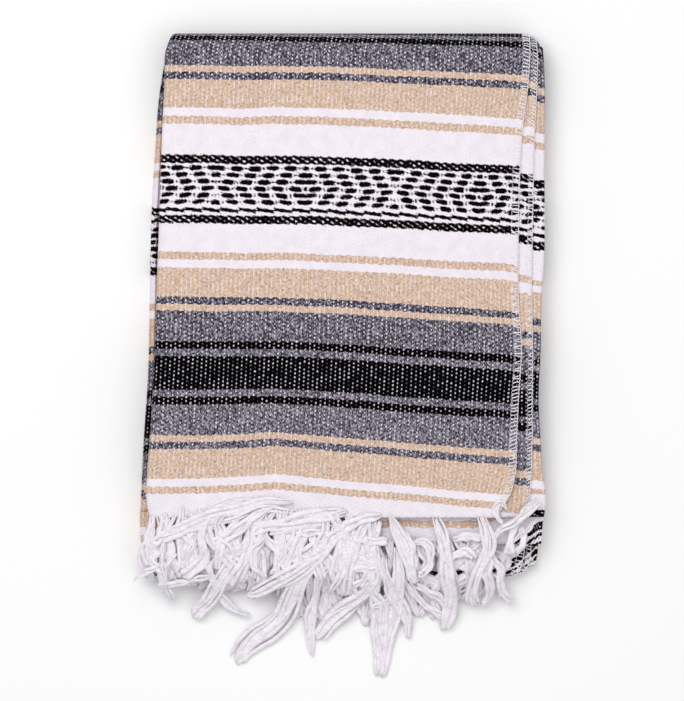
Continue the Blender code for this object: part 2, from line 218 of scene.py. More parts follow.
DROP_X = (np.array([168, 204, 240, 276, 312, 360, 408, 456, 504, 530, 548]) - 340) * PIXEL
DROP_Y = (356 - np.array([479, 435, 390, 356, 311, 252, 223, 155, 109, 66, 43])) * PIXEL
DROP = np.array([
    (2.5, 2.0, 0.9, -2.3, 1.5, 6.2, 9.7, 14.5, 18.5, 21, 22),
    (1.0, 1.4, 0.0, -2.0, 1.2, 5.0, 8.6, 12.2, 14.0, 17, 18),
    (1.0, 1.6, 1.0, 0.2, 2.4, 4.9, 9.2, 11.8, 15.0, 19, 20),
    (0.3, 0.6, 0.8, 0.4, 1.8, 4.6, 8.0, 10.8, 13.4, 18, 19),
    (0.3, 1.5, 1.1, 1.6, 2.8, 4.9, 8.1, 11.2, 14.2, 17, 18),
    (-1.3, -0.8, 0.1, -0.4, 0.8, 3.0, 5.6, 8.2, 9.8, 15, 16),
    (0.0, 0.3, 1.1, 1.1, 1.4, 3.8, 6.2, 8.6, 10.5, 13, 14),
    (0.0, 0.2, 1.4, 1.1, 1.4, 3.1, 5.1, 8.6, 10.2, 12, 13),
    (-3.1, -3.1, -1.9, -3.6, -2.8, -1.2, 1.3, 3.2, 6.3, 8, 9),
    (-3.7, -3.4, -2.9, -2.8, -2.3, -0.8, 1.2, 3.3, 5.5, 7, 8),
    (-0.8, -0.3, 0.4, 1.2, 2.0, 3.6, 5.3, 7.0, 8.8, 10.5, 12),
]) * PIXEL


def line_drop(x, y):
    """The table above between its places: straight across each row, then straight from row to row."""
    rows = np.stack([np.interp(x, DROP_X, row) for row in DROP])
    place = np.interp(y, DROP_Y, np.arange(len(DROP_Y)))
    k = np.clip(place.astype(int), 0, len(DROP_Y) - 2)
    t = place - k
    low = np.take_along_axis(rows, k[None], axis=0)[0]
    high = np.take_along_axis(rows, k[None] + 1, axis=0)[0]
    return low + (high - low) * t


def cloth_grid(stations, section):
    """The places of a section's points at every station.

    A section point is (edge, offset, depth, place across the cloth, free edge). Its x is the edge's x plus
    the offset, or on a face the place across, stretched near the free edge to where that edge lies.
    """
    y, z, out_y, out_z, lower = stations.T
    reach = y + out_y * HALF
    edges = [
        (1 - lower) * through(reach, TOP_EDGES[:, 0], TOP_EDGES[:, k])
        + lower * through(reach, LOWER_EDGES[:, 0], LOWER_EDGES[:, k])
        for k in range(1, 5)
    ]
    edge = np.stack(edges, axis=1)
    kind, offset, depth, across, free = section.T
    base = edge[:, kind.astype(int)] + offset
    inner = edge[:, [LEFT]] + HALF
    far = edge[:, free.astype(int)]
    pull = far - inner - CLOTH_WIDTH
    face = (kind == LEFT) & (across > 0)
    share = eased((across - (CLOTH_WIDTH - PULL_WIDTH)) / PULL_WIDTH)
    x = np.where(face, inner + across + pull * share, base)
    y = y[:, None] + out_y[:, None] * depth
    z = z[:, None] + out_z[:, None] * depth
    return np.stack([x, y, z], axis=2)


def round_edge(edge, top, bottom, across, steps=6):
    """Section points round a free or folded edge at the right: half a circle from its top to its bottom."""
    radius = (top - bottom) / 2
    angles = np.radians(np.linspace(90, -90, steps + 1))
    return [
        (edge, radius * (math.cos(a) - 1), (top + bottom) / 2 + radius * math.sin(a),
         across + radius * (math.pi / 2 - a), edge)
        for a in angles
    ]


def face_points(depth, free, places):
    """Section points across a face at a depth, at places measured from the inner side of the left fold."""
    return [(LEFT, 0.0, depth, a, free) for a in places]


def nose_points(radius, start, end, steps):
    """Section points round the left fold, from one angle to another in degrees, about its middle."""
    angles = np.radians(np.linspace(start, end, steps + 1))
    return [
        (LEFT, HALF + radius * math.cos(a), radius * math.sin(a), -HALF * (a - math.pi / 2), FIRST)
        for a in angles
    ]


def placed(name, data):
    """A new object in the scene."""
    item = bpy.data.objects.new(name, data)
    bpy.context.scene.collection.objects.link(item)
    return item


def new_mesh(name, points, faces, maps, material, slot):
    """A smooth mesh object of points and faces, with its UV maps, one pair for each point."""
    mesh = bpy.data.meshes.new(name)
    mesh.from_pydata(points.tolist(), [], faces)
    corner = np.empty(len(mesh.loops), dtype=np.int32)
    mesh.loops.foreach_get("vertex_index", corner)
    for title, pairs in maps.items():
        layer = mesh.uv_layers.new(name=title)
        layer.uv.foreach_set("vector", pairs[corner].astype(np.float32).ravel())
    mesh.update()
    mesh.shade_smooth()
    mesh.materials.append(material)
    piece = placed(name, mesh)
    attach(piece, "root")
    return piece


def ring_faces(rings, size):
    """Quads between successive closed rings of equal size."""
    near = np.arange(size)
    beyond = np.roll(near, -1)
    row = np.arange(rings - 1)[:, None] * size
    quads = [row + near, row + beyond, row + size + beyond, row + size + near]
    return np.stack(quads, axis=2).reshape(-1, 4)


def cloth_piece(name, stations, section, stripe_at, lift=None):
    """A closed wall of cloth: the section's ring at every station, closed at both ends.

    Its map "stripes" holds the place across and the stripes' place along, and "weave" the true lengths.
    """
    section = np.array(section, dtype=float)
    grid = cloth_grid(stations, section)
    count, size = grid.shape[:2]
    along = np.broadcast_to(cloth_used(stations)[:, None], (count, size))
    across = np.broadcast_to(section[:, 3] - CLOTH_WIDTH / 2, (count, size))
    stripe = stripe_at(along, grid[..., 0], grid[..., 1])
    stripes = np.stack([across, stripe], axis=2).reshape(-1, 2)
    weave = np.stack([across, along], axis=2).reshape(-1, 2)
    points = settled(grid)
    if lift:
        points[..., 2] += lift(points)
    last = (count - 1) * size + np.arange(size)
    faces = ring_faces(count, size).tolist() + [np.arange(size)[::-1].tolist(), last.tolist()]
    maps = {"stripes": stripes, "weave": weave}
    return new_mesh(name, points.reshape(-1, 3), faces, maps, falsa, "striped_cloth")


# The weave's finish
# Weft-faced plain weave: thick acrylic and cotton weft in solid and heather colours hides a white cotton
# warp, which shows as dots between the weft's floats. Bands of small pattern run across the white stripes.
def linear(red, green, blue):
    """A colour of 0 to 255 as linear light."""
    shares = np.array([red, green, blue]) / 255
    light = np.where(shares <= 0.04045, shares / 12.92, ((shares + 0.055) / 1.055) ** 2.4)
    return (*light.tolist(), 1.0)


def operator(operation, swapped=False):
    """An operator of Value, which adds this Math node to the finish's tree."""
    def method(value, *others):
        terms = [*others, value] if swapped else [value, *others]
        return value.finish.add("ShaderNodeMath", {"operation": operation}, terms)
    return method


class Value:
    """A socket to reckon with."""

    def __init__(self, finish, socket):
        self.finish = finish
        self.socket = socket

    def calc(self, operation, *others):
        """Any other Math node on this value."""
        return self.finish.add("ShaderNodeMath", {"operation": operation}, [self, *others])

    __add__ = operator("ADD")
    __radd__ = operator("ADD")
    __sub__ = operator("SUBTRACT")
    __rsub__ = operator("SUBTRACT", swapped=True)
    __mul__ = operator("MULTIPLY")
    __rmul__ = operator("MULTIPLY")
    __truediv__ = operator("DIVIDE")
    __lt__ = operator("LESS_THAN")
    __gt__ = operator("GREATER_THAN")
    __abs__ = operator("ABSOLUTE")


class Finish:
    """A material of shader nodes."""

    def __init__(self, name, roughness, specular, sheen):
        self.material = bpy.data.materials.new(name)
        self.material.use_nodes = True
        self.tree = self.material.node_tree
        self.shader = self.tree.nodes["Principled BSDF"]
        self.shader.inputs["Roughness"].default_value = roughness
        self.shader.inputs["Sheen Weight"].default_value = sheen
        self.shader.inputs["Sheen Roughness"].default_value = 0.5
        self.shader.inputs["Specular IOR Level"].default_value = specular

    def add(self, kind, settings, values, output=0):
        """Adds a node of this kind: its settings first, then its sockets, by number or by name."""
        node = self.tree.nodes.new(kind)
        for title, setting in settings.items():
            if title == "stops":
                ramp = node.color_ramp
                while len(ramp.elements) < len(setting):
                    ramp.elements.new(0.5)
                for element, (place, colour) in zip(ramp.elements, setting):
                    element.position = place
                    element.color = colour
            elif title == "steps":
                node.color_ramp.interpolation = setting
            else:
                setattr(node, title, setting)
        pairs = values.items() if isinstance(values, dict) else enumerate(values)
        for place, value in pairs:
            socket = node.inputs[place]
            if isinstance(value, Value):
                self.tree.links.new(value.socket, socket)
            else:
                socket.default_value = value
        return Value(self, node.outputs[output])

    def joined(self, x, y, z=0.0):
        """A vector of three values."""
        return self.add("ShaderNodeCombineXYZ", {}, [x, y, z])

    def noise(self, vector, scale, detail=2.0, roughness=0.5):
        """Soft noise about 0.5."""
        values = {"Vector": vector, "Scale": scale, "Detail": detail, "Roughness": roughness}
        return self.add("ShaderNodeTexNoise", {}, values)

    def luck(self, x, y):
        """A value from 0 to 1 for each whole x and y, at random."""
        place = {"Vector": self.joined(x, y)}
        return self.add("ShaderNodeTexWhiteNoise", {"noise_dimensions": "2D"}, place)

    def step(self, value, low, high):
        """0 below low, 1 above high, eased between."""
        settings = {"interpolation_type": "SMOOTHSTEP"}
        return self.add("ShaderNodeMapRange", settings, {"Value": value, 1: low, 2: high, 3: 0.0, 4: 1.0})

    def mixed(self, share, first, second, blend="MIX"):
        """Two colours mixed by a share."""
        settings = {"data_type": "RGBA", "blend_type": blend}
        return self.add("ShaderNodeMix", settings, {"Factor": share, 6: first, 7: second}, output=2)

    def bands(self, stops, value):
        """One colour from each stop to the next."""
        return self.add("ShaderNodeValToRGB", {"stops": stops, "steps": "CONSTANT"}, [value])

    def map_place(self, title):
        """The two values of a UV map, in millimetres."""
        place = self.add("ShaderNodeUVMap", {"uv_map": title}, [])
        return [self.add("ShaderNodeSeparateXYZ", {}, [place], k) * 1000.0 for k in (0, 1)]

    def give(self, title, value):
        """Feeds one of the surface's own sockets."""
        self.tree.links.new(value.socket, self.shader.inputs[title])


WHITE_YARN = linear(243, 235, 243)
TAN_YARN = linear(217, 188, 166)
GREY_YARN = linear(92, 87, 100)
DARK_GREY_YARN = linear(70, 66, 80)
BLACK_YARN = linear(2, 1, 3)
HALF_REPEAT = 157.0
BAND_MIDDLE = 143.2  # the middle of the patterned band, in the stripes' map
# From the middle of the patterned band: where each stripe starts, its colour, and then how strong its warp
# dots, flecks and fibres of other colours are
STRIPES = (
    (0.0, WHITE_YARN, (0.0, 0.20, 0.0)),
    (54.5, TAN_YARN, (0.55, 1.0, 0.45)),
    (60.5, WHITE_YARN, (0.0, 0.20, 0.0)),
    (67.0, TAN_YARN, (0.55, 1.0, 0.45)),
    (91.5, DARK_GREY_YARN, (0.85, 0.5, 1.0)),
    (98.0, TAN_YARN, (0.55, 1.0, 0.45)),
    (103.5, GREY_YARN, (0.80, 0.5, 1.0)),
    (129.5, BLACK_YARN, (0.70, 0.0, 0.0)),
    (136.5, GREY_YARN, (0.80, 0.5, 1.0)),
    (142.5, BLACK_YARN, (0.70, 0.0, 0.0)),
)
WARP_PITCH = 3.85
DOT_PITCH = 3.4
WEFT_PITCH = 1.7
CHAIN_ROWS = (26.2, -25.4)
CHAIN_HALF = 2.85
CHAIN_SWELL = 1.05
OVAL_SHIFT = 1.05  # how far a chain's white ovals lie above and below its middle
DASH_TOP = 18.9
DASH_ROW = 5.84
DASH_PITCH = 15.4
DASH_LENGTH = 11.3
DASH_LAST = 5.0
DASH_START = 1.3
DASH_SLANT = 3.6  # how much further out the dashes of each row start, from the middle row on
LINE_ROW = -17.2
DIAMOND_LEFT = -112.4  # the middle of a diamond, from the cloth's middle line
DIAMOND_HALF = 77.0
LIGHT_GREY_BELOW = -41.0  # another lot of grey yarn, below this place


def woven(name):
    """The weave's finish. Every place here is in millimetres."""
    finish = Finish(name, 0.92, 0.04, 0.02)
    u, v = finish.map_place("stripes")
    across, along = finish.map_place("weave")
    cloth_place = finish.joined(across, along)
    drift = finish.noise(cloth_place, 0.03) - 0.5
    fray = finish.noise(cloth_place, 0.5, 2.0) - 0.5
    fray_2 = finish.noise(finish.joined(along, across, 7.0), 0.45, 2.0) - 0.5
    wave = (u * (math.pi / WARP_PITCH)).calc("COSINE")

    # stripes
    v_stripe = v + 2.2 * drift + 1.3 * fray + 0.4 * wave
    place = (v_stripe - BAND_MIDDLE).calc("PINGPONG", HALF_REPEAT) / HALF_REPEAT
    stops = [(start / HALF_REPEAT, colour) for start, colour, _ in STRIPES]
    traits = [(start / HALF_REPEAT, (*trait, 1.0)) for start, _, trait in STRIPES]
    colour = finish.bands(stops, place)
    trait = finish.bands(traits, place)
    dots_share, fleck_share, fibre_share = [
        finish.add("ShaderNodeSeparateColor", {}, [trait], k) for k in range(3)
    ]
    grey_share = finish.step(fibre_share, 0.7, 0.9)
    pale_lot = 1.0 - finish.step(v, LIGHT_GREY_BELOW - 1.0, LIGHT_GREY_BELOW + 1.0)
    pale_lot = pale_lot.calc("MAXIMUM", finish.step(place, 0.865, 0.875)) * grey_share
    colour = finish.mixed(pale_lot * 0.14, colour, linear(178, 173, 186))

    # chains: black bands with a white oval at each warp end, high and low by turns
    ragged = finish.noise(cloth_place, 0.9, 1.0) - 0.5
    u_band = u + 1.5 * fray_2 + 5.5 * ragged
    v_band = v + 1.6 * drift + 1.4 * fray - 3.2 * ragged
    w = (v_band - BAND_MIDDLE).calc("WRAP", HALF_REPEAT, -HALF_REPEAT)
    cell = (u_band / WARP_PITCH).calc("ROUND")
    odd_cell = cell.calc("FLOORED_MODULO", 2.0)
    bulge = abs((u_band * (math.pi / 2 / WARP_PITCH)).calc("COSINE"))
    dip = abs((u_band * (math.pi / 2 / WARP_PITCH)).calc("SINE"))
    band = None
    for row in CHAIN_ROWS:
        off = w - row
        top = CHAIN_HALF + CHAIN_SWELL * bulge
        bottom = CHAIN_HALF + CHAIN_SWELL * dip
        body = (off < top) * (off > bottom * -1.0)
        high = off - OVAL_SHIFT + 2 * OVAL_SHIFT * odd_cell
        beside = u_band - cell * WARP_PITCH + 0.45 * high
        size = 0.05 + 0.85 * finish.luck(cell, row)
        hole = beside * beside / 1.15 + high * high / 0.85 < size
        chain = body * (1.0 - hole)
        band = chain if band is None else band.calc("MAXIMUM", chain)

    # dashes in six rows, drawn up into diamonds, with a knot in each space, and a broken line below them
    number = ((DASH_TOP - w) / DASH_ROW).calc("ROUND").calc("MAXIMUM", 0.0).calc("MINIMUM", DASH_LAST)
    low_rows = number > 2.5
    off = w - DASH_TOP + DASH_ROW * number
    from_middle = (u_band - DIAMOND_LEFT).calc("PINGPONG", DIAMOND_HALF)
    slant = DASH_SLANT * abs(number - 3.0)
    run = from_middle - DASH_START - slant
    phase = run.calc("FLOORED_MODULO", DASH_PITCH)
    chance = finish.luck((run / DASH_PITCH).calc("FLOOR"), number)
    lens = (phase - DASH_LENGTH / 2) / (DASH_LENGTH / 2)
    tilted = off + (0.02 + 0.09 * low_rows) * (phase - DASH_LENGTH / 2) + 0.5 * (chance - 0.5)
    thick = 3.9 + 1.0 * lens + 2.0 * chance
    square = lens * lens
    dash = square * square + tilted * tilted / thick < 1.0
    knot_off = phase - (DASH_PITCH + DASH_LENGTH) / 2
    knot_size = knot_off * knot_off / (1.0 - 0.5 * low_rows) + off * off / (0.8 + 1.4 * low_rows)
    knot = knot_size < 0.5 + 1.4 * chance
    saw = 1.0 - 0.13 * u_band.calc("FLOORED_MODULO", DASH_PITCH)
    line = abs(w - LINE_ROW - saw) < 1.25 + 0.5 * bulge
    band = band.calc("MAXIMUM", dash).calc("MAXIMUM", knot).calc("MAXIMUM", line)
    colour = finish.mixed(band, colour, BLACK_YARN)

    # warp dots between the weft's floats
    warp_x = across + 1.2 * drift + 0.9 * fray_2
    column = (warp_x / WARP_PITCH).calc("ROUND")
    odd = column.calc("FLOORED_MODULO", 2.0)
    dot_x = warp_x - column * WARP_PITCH
    row = (along + 1.0 * fray) / DOT_PITCH + 0.5 * odd
    dot_y = (row.calc("FRACT") - 0.5) * DOT_PITCH
    chance = finish.luck(column, row.calc("FLOOR"))
    chance_2 = finish.luck(column + 700.0, row.calc("FLOOR"))
    dot_size = dot_x * dot_x / (0.22 + 0.42 * chance_2) + dot_y * dot_y / (0.32 + 0.60 * chance)
    dots = (1.0 - finish.step(dot_size, 0.5, 1.35)) * finish.step(chance, -0.15, 0.85)

    # heather: fine fibres of lighter and darker colour, slanting to and fro from warp end to warp end
    sheared = across * 1.0 + (odd - 0.5) * along * 1.1
    fibre = finish.noise(finish.joined(sheared, along * 0.5, odd * 9.0), 0.72, 1.0, 0.6)
    light = finish.step(fibre, 0.51, 0.60)
    dark = finish.step(1.0 - fibre, 0.50, 0.58)
    light_tint = finish.mixed(grey_share, linear(243, 226, 214), linear(184, 178, 192))
    dark_tint = finish.mixed(grey_share, linear(180, 138, 106), linear(40, 36, 46))
    colour = finish.mixed(light * fibre_share * 0.60, colour, light_tint)
    colour = finish.mixed(dark * fibre_share * 0.86, colour, dark_tint)
    streak = finish.step(finish.noise(finish.joined(column, along * 0.16), 1.0, 1.0), 0.44, 0.60)
    warp_line = (1.0 - finish.step(abs(dot_x), 0.15, 0.95)) * streak
    colour = finish.mixed(warp_line * (1.0 - grey_share) * fibre_share * 1.2, colour, linear(245, 236, 234))
    speck = finish.noise(finish.joined(across, along, 31.0), 0.55, 1.0)
    rare = finish.step(speck, 0.62, 0.68)
    tints = [(0.0, linear(146, 100, 70)), (0.52, linear(158, 104, 98)), (0.60, linear(104, 104, 132))]
    tint = finish.bands(tints, finish.noise(cloth_place, 0.3, 0.0))
    colour = finish.mixed(rare * fleck_share * 0.7, colour, tint)
    colour = finish.mixed(dots * dots_share, colour, linear(242, 238, 246))
    cloud = finish.noise(cloth_place, 0.09, 2.0)
    shade = finish.mixed(finish.step(cloud, 0.25, 0.75), (0.93, 0.93, 0.94, 1), (1, 1, 1, 1))
    finish.give("Base Color", finish.mixed(1.0, colour, shade, "MULTIPLY"))

    # relief: weft floats stand proud between the warp's dips
    warp_dips = (across * (math.pi / WARP_PITCH)).calc("COSINE")
    dips = warp_dips * (along * (math.pi / WEFT_PITCH)).calc("COSINE")
    height = 0.5 - 0.5 * dips + 0.9 * (fibre - 0.5)
    bump = finish.add("ShaderNodeBump", {}, {"Strength": 0.5, "Distance": 0.0005, "Height": height})
    finish.give("Normal", bump)
    finish.give("Roughness", 0.86 + 0.10 * fibre)
    return finish.material


falsa = woven("falsa_weave")

# The outer layer
# The half of the cloth's width that lies outermost: front panel, head fold, underside, foot fold and lip,
# with the rounded folds down the left side. White overlock thread binds its free edge.
FINE = 2.0 * MM


def spread(count, end=CLOTH_WIDTH):
    """Places across a face, from just past the left fold to just short of the free edge."""
    return np.linspace(0, end, count + 2)[1:-1]


def outer_section():
    """The outer layer's ring: free edge, inner face, fold inside, fold outside, and outer face."""
    inside = HALF - CLOTH
    end = CLOTH_WIDTH - CLOTH / 2
    return (
        round_edge(FIRST, HALF, inside, CLOTH_WIDTH)
        + face_points(inside, FIRST, spread(60, end))[::-1]
        + nose_points(inside, 90, 265, 8)
        + nose_points(HALF, 265, 90, 14)
        + face_points(HALF, FIRST, spread(120, end))
    )


HEAD_ARC = (HEAD_TURN + HALF) * math.pi
FOOT_ARC = (FOOT_TURN + HALF) * math.pi
TOP_RUN = HEAD_AXIS_Y - CLOTH_END
BOTTOM_RUN = HEAD_AXIS_Y - FOOT_AXIS_Y
HIDDEN_RUN = 20.05 * MM  # the last of the underside, before the foot fold
LIP_STRIPE = 986.85 * MM  # the stripes' place at y 0, if the lip reached so far
# The stripes' places against the cloth used. They are those that show at the sides of the stack, so a
# little of the black stripe at the head and of the patterned band at the foot is eased out of sight.
USED = np.cumsum([
    0, TOP_RUN, HEAD_ARC / 2, HEAD_ARC / 2, BOTTOM_RUN - HIDDEN_RUN, HIDDEN_RUN, FOOT_ARC, 200 * MM
])
STRIPE_AT = np.cumsum([
    CLOTH_END, TOP_RUN, HEAD_ARC / 2, 9.2 * MM, BOTTOM_RUN - HIDDEN_RUN, 55.7 * MM, FOOT_ARC, 200 * MM
])
# How far the lines of the lip lie below their place at the left, across the photograph, in pixels
LIP_DROP = np.array([(140, 0), (180, 4.5), (400, 4.5), (430, 1), (490, -1), (515, -13), (537, -32)])


def outer_stripe(used, x, y):
    """The stripes' place on the outer layer: the front's slanting lines, and from the foot on the lip's."""
    top = np.interp(used, [0, USED[2], USED[3] + 80 * MM], [1, 1, 0])
    foot = eased((used - USED[4] + 60 * MM) / (60 * MM))
    lip = np.interp(x / PIXEL + PHOTO_ZERO[0], LIP_DROP[:, 0], LIP_DROP[:, 1])
    return np.interp(used, USED, STRIPE_AT) + top * line_drop(x, y) + foot * lip * PIXEL


CURL_LINE = np.array([154.0, -96.0, 134.0, -137.0]) * MM
CURL_HEIGHT = 3.4 * MM
CURL_WIDTH = 11.0 * MM
CURLS_ABOVE = 36.0 * MM


def corner_lift(points):
    """The front's free corner at the foot curls up: height exp(-(distance from its line / width)^2)."""
    x, y, z = np.moveaxis(points, -1, 0)
    share = np.exp(-((line_distance(x, y, CURL_LINE) / CURL_WIDTH) ** 2))
    return CURL_HEIGHT * share * (z > CURLS_ABOVE)


outer = cloth_piece("outer_layer", outer_strip(CLOTH_END, FINE), outer_section(), outer_stripe, corner_lift)
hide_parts("sheet_1")

# The second layer
# The next quarter of the width, which shows as a strip down the right side with its own overlocked edge.
STRIP_WIDTH = 62.0 * MM
# How much lower the lines of the second layer and of the right fold lie than the front's, by the place
# down the photograph, in pixels
SECOND_SHIFT = np.array([
    (41, 5), (163, 7.5), (287, 8), (329, 19), (344, 19), (371, 17), (387, 17), (422, 11), (461, 16),
    (471, 18),
])
FOLD_SHIFT = np.array([
    (36, 11), (181, 12.5), (278, 12.5), (290, 8), (318, 5), (332, 5), (360, 0), (400, -8), (434, -13),
    (476, -16), (493, -16), (506, -31)
])


def shifted(table):
    """The outer layer's stripes, lower on the top packet by the shifts of a table."""
    def stripe_at(used, x, y):
        lower = np.interp(356 - y / PIXEL, table[:, 0], table[:, 1]) * PIXEL
        top = np.interp(used, [0, USED[2], USED[3] + 80 * MM], [1, 1, 0])
        return outer_stripe(used, x, y) + top * lower
    return stripe_at


def second_section():
    """The second layer's ring: free edge, lower face, inner end and upper face."""
    top = HALF - CLOTH - GAP
    bottom = top - CLOTH
    places = np.linspace(CLOTH_WIDTH - STRIP_WIDTH, CLOTH_WIDTH - CLOTH / 2, 24)[:-1]
    lower = [(SECOND, a - CLOTH_WIDTH, bottom, a, SECOND) for a in places]
    upper = [(SECOND, a - CLOTH_WIDTH, top, a, SECOND) for a in places]
    return round_edge(SECOND, top, bottom, CLOTH_WIDTH) + lower[::-1] + upper


second = cloth_piece(
    "second_layer", outer_strip(SECOND_END, FINE), second_section(), shifted(SECOND_SHIFT)
)
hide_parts("sheet_2")

# The third and fourth layers
# They turn into each other in the rounded fold at the far right. Between the folds they are hidden.
NOSE_GAP = 3.0 * MM
FOLD_PLACE = CLOTH_WIDTH + 6 * MM  # where the fold starts, across the cloth


def hidden_section():
    """The ring of the two inner layers: right fold, lower face, left end, and stepped upper face."""
    top = HALF - CLOTH - GAP
    step = top - CLOTH - GAP
    inner = -STRIP_WIDTH - NOSE_GAP
    lower = [(FOLD, -a, -HALF, CLOTH_WIDTH - a, FOLD) for a in np.linspace(8 * MM, 300 * MM, 30)]
    upper = [(LEFT, HALF + NOSE_GAP + a, top, 0.0, FIRST) for a in np.linspace(0, 225 * MM, 20)]
    strip = [(SECOND, -a, step, CLOTH_WIDTH - a, SECOND) for a in np.linspace(STRIP_WIDTH, 2 * MM, 14)]
    return (
        round_edge(FOLD, step, -HALF, FOLD_PLACE, 10)
        + lower
        + [(LEFT, HALF + NOSE_GAP, -HALF, 0.0, FIRST)]
        + upper
        + [(SECOND, inner, top, 0.0, SECOND), (SECOND, inner, step, 0.0, SECOND)]
        + strip
    )


third = cloth_piece(
    "inner_layers", outer_strip(SECOND_END, FINE), hidden_section(), shifted(FOLD_SHIFT)
)
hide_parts("fold_3")

# The two packets inside the stack
# The same cloth goes on past the lip as the third packet, round the inner head fold, and back as the
# second. Only their edges show, stepped as the layers lie, and the second packet's white end.


def inner_strip(step):
    """Stations of the third packet from the lip, round the inner head fold, and back as the second."""
    third_run = flat_run(LIP_END, HEAD_AXIS_Y, PACKET_Z[3], 1, step, 0.0)
    third_run[:, 4] = np.interp(third_run[:, 0], [LIP_END, INNER_IN_LINE_Y], [1.0, 0.0])
    return np.concatenate([
        third_run,
        bend(HEAD_AXIS_Y, STACK_MIDDLE, FOOT_TURN, -90, 90, 12, -1, (0, 0)),
        flat_run(HEAD_AXIS_Y, PACKET_2_END, PACKET_Z[2], -1, step, 0.0),
    ])


def packet_section():
    """A packet's ring: two free edges and the right fold, stepping out, lower face and left fold."""
    second_top = HALF - CLOTH
    third_top = HALF - 2 * CLOTH
    right = [(FOLD, -a, -HALF, CLOTH_WIDTH - a, FOLD) for a in np.linspace(8 * MM, 60 * MM, 8)]
    return (
        round_edge(FIRST, HALF, second_top, CLOTH_WIDTH)
        + round_edge(SECOND, second_top, third_top, CLOTH_WIDTH)
        + round_edge(FOLD, third_top, -HALF, FOLD_PLACE, 8)
        + right
        + face_points(-HALF, FOLD, spread(16, 240 * MM))[::-1]
        + nose_points(HALF, 270, 90, 14)
        + face_points(HALF, FIRST, spread(60, CLOTH_WIDTH - CLOTH / 2))
    )


PACKET_2_STRIPE = 1514.2 * MM  # the stripes' place at y 0 on the second packet
THIRD_RUN = HEAD_AXIS_Y - LIP_END
SECOND_RUN = HEAD_AXIS_Y - PACKET_2_END
# How far the second packet's lines lie above their place, across the photograph, in pixels
PACKET_2_DROP = np.array([
    (140, 24), (182, 22), (300, 13), (400, 3), (440, 6), (480, 4), (502, -7), (540, -32)
])


def packet_stripe(used, x, y):
    """The stripes' place along the third packet, the inner fold and the second packet."""
    turn = used[-1, 0] - THIRD_RUN - SECOND_RUN
    places = np.cumsum([0, THIRD_RUN, turn, SECOND_RUN])
    stripes = [
        LIP_STRIPE + LIP_END, LIP_STRIPE + HEAD_AXIS_Y, PACKET_2_STRIPE - HEAD_AXIS_Y,
        PACKET_2_STRIPE - PACKET_2_END,
    ]
    back = eased((used - THIRD_RUN) / (100 * MM))
    drop = np.interp(x / PIXEL + PHOTO_ZERO[0], PACKET_2_DROP[:, 0], PACKET_2_DROP[:, 1]) * PIXEL
    return np.interp(used, places, stripes) - back * drop


packets = cloth_piece("inner_packets", inner_strip(4 * MM), packet_section(), packet_stripe)
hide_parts("inner_fold")

# Overlock stitching
# White thread sewn over both long edges of the cloth: slanted stitches over a 6 mm band, locked by a
# looped thread along the edge and a finer one along the band's inner side.
STITCH_PITCH = 3.1 * MM
THREAD = 0.46 * MM  # its half thickness
ZIGZAG = 1.5 * MM  # how far stitches lean to either side where the tension is even
LEAN = 1.6 * MM  # how far they lean one way where it isn't


def tubes(paths, radii, sides, flat=1.0):
    """Tubes along many paths at once: paths is (tubes, points, 3), radii (tubes, points).

    Each ring lies across the path's direction, its points at equal angles, and flat scales its height.
    Gives the points, the faces, and a map of the angle, folded at the top, and the length, in metres.
    """
    count, length = paths.shape[:2]
    ahead = np.gradient(paths, axis=1)
    ahead /= np.maximum(np.linalg.norm(ahead, axis=2, keepdims=True), 1e-9)
    up = np.broadcast_to([0.0, 0.0, 1.0], ahead.shape)
    side = np.cross(ahead, up)
    weak = np.linalg.norm(side, axis=2, keepdims=True) < 0.15
    side = np.where(weak, np.cross(ahead, [0.0, 1.0, 0.0]), side)
    side /= np.maximum(np.linalg.norm(side, axis=2, keepdims=True), 1e-9)
    over = np.cross(side, ahead)
    angles = np.linspace(0, 2 * math.pi, sides, endpoint=False)
    ring = side[:, :, None] * np.cos(angles)[:, None] + flat * over[:, :, None] * np.sin(angles)[:, None]
    points = paths[:, :, None] + radii[:, :, None, None] * ring
    base = np.arange(count)[:, None] * (length * sides)
    quads = ring_faces(length, sides)[None, :, ::-1] + base[:, :, None]
    caps = np.stack([np.arange(sides), (length - 1) * sides + np.arange(sides)[::-1]])
    caps = caps[None] + base[:, :, None]
    steps = np.linalg.norm(np.diff(paths, axis=1, prepend=paths[:, :1]), axis=2)
    run = np.broadcast_to(np.cumsum(steps, axis=1)[:, :, None], (count, length, sides))
    turn = np.broadcast_to(np.minimum(angles, 2 * math.pi - angles) * MM, (count, length, sides))
    places = np.stack([turn + np.arange(count)[:, None, None] * 7 * MM, run], axis=3).reshape(-1, 2)
    return points.reshape(-1, 3), quads.reshape(-1, 4).tolist() + caps.reshape(-1, sides).tolist(), places


def joined(meshes):
    """Several meshes of tubes as one: their points, faces and maps."""
    before = np.cumsum([0] + [len(points) for points, _, _ in meshes])
    faces = [[k + first for k in face] for first, (_, some, _) in zip(before, meshes) for face in some]
    places = np.concatenate([places for _, _, places in meshes])
    return np.concatenate([points for points, _, _ in meshes]), faces, {"yarn": places}


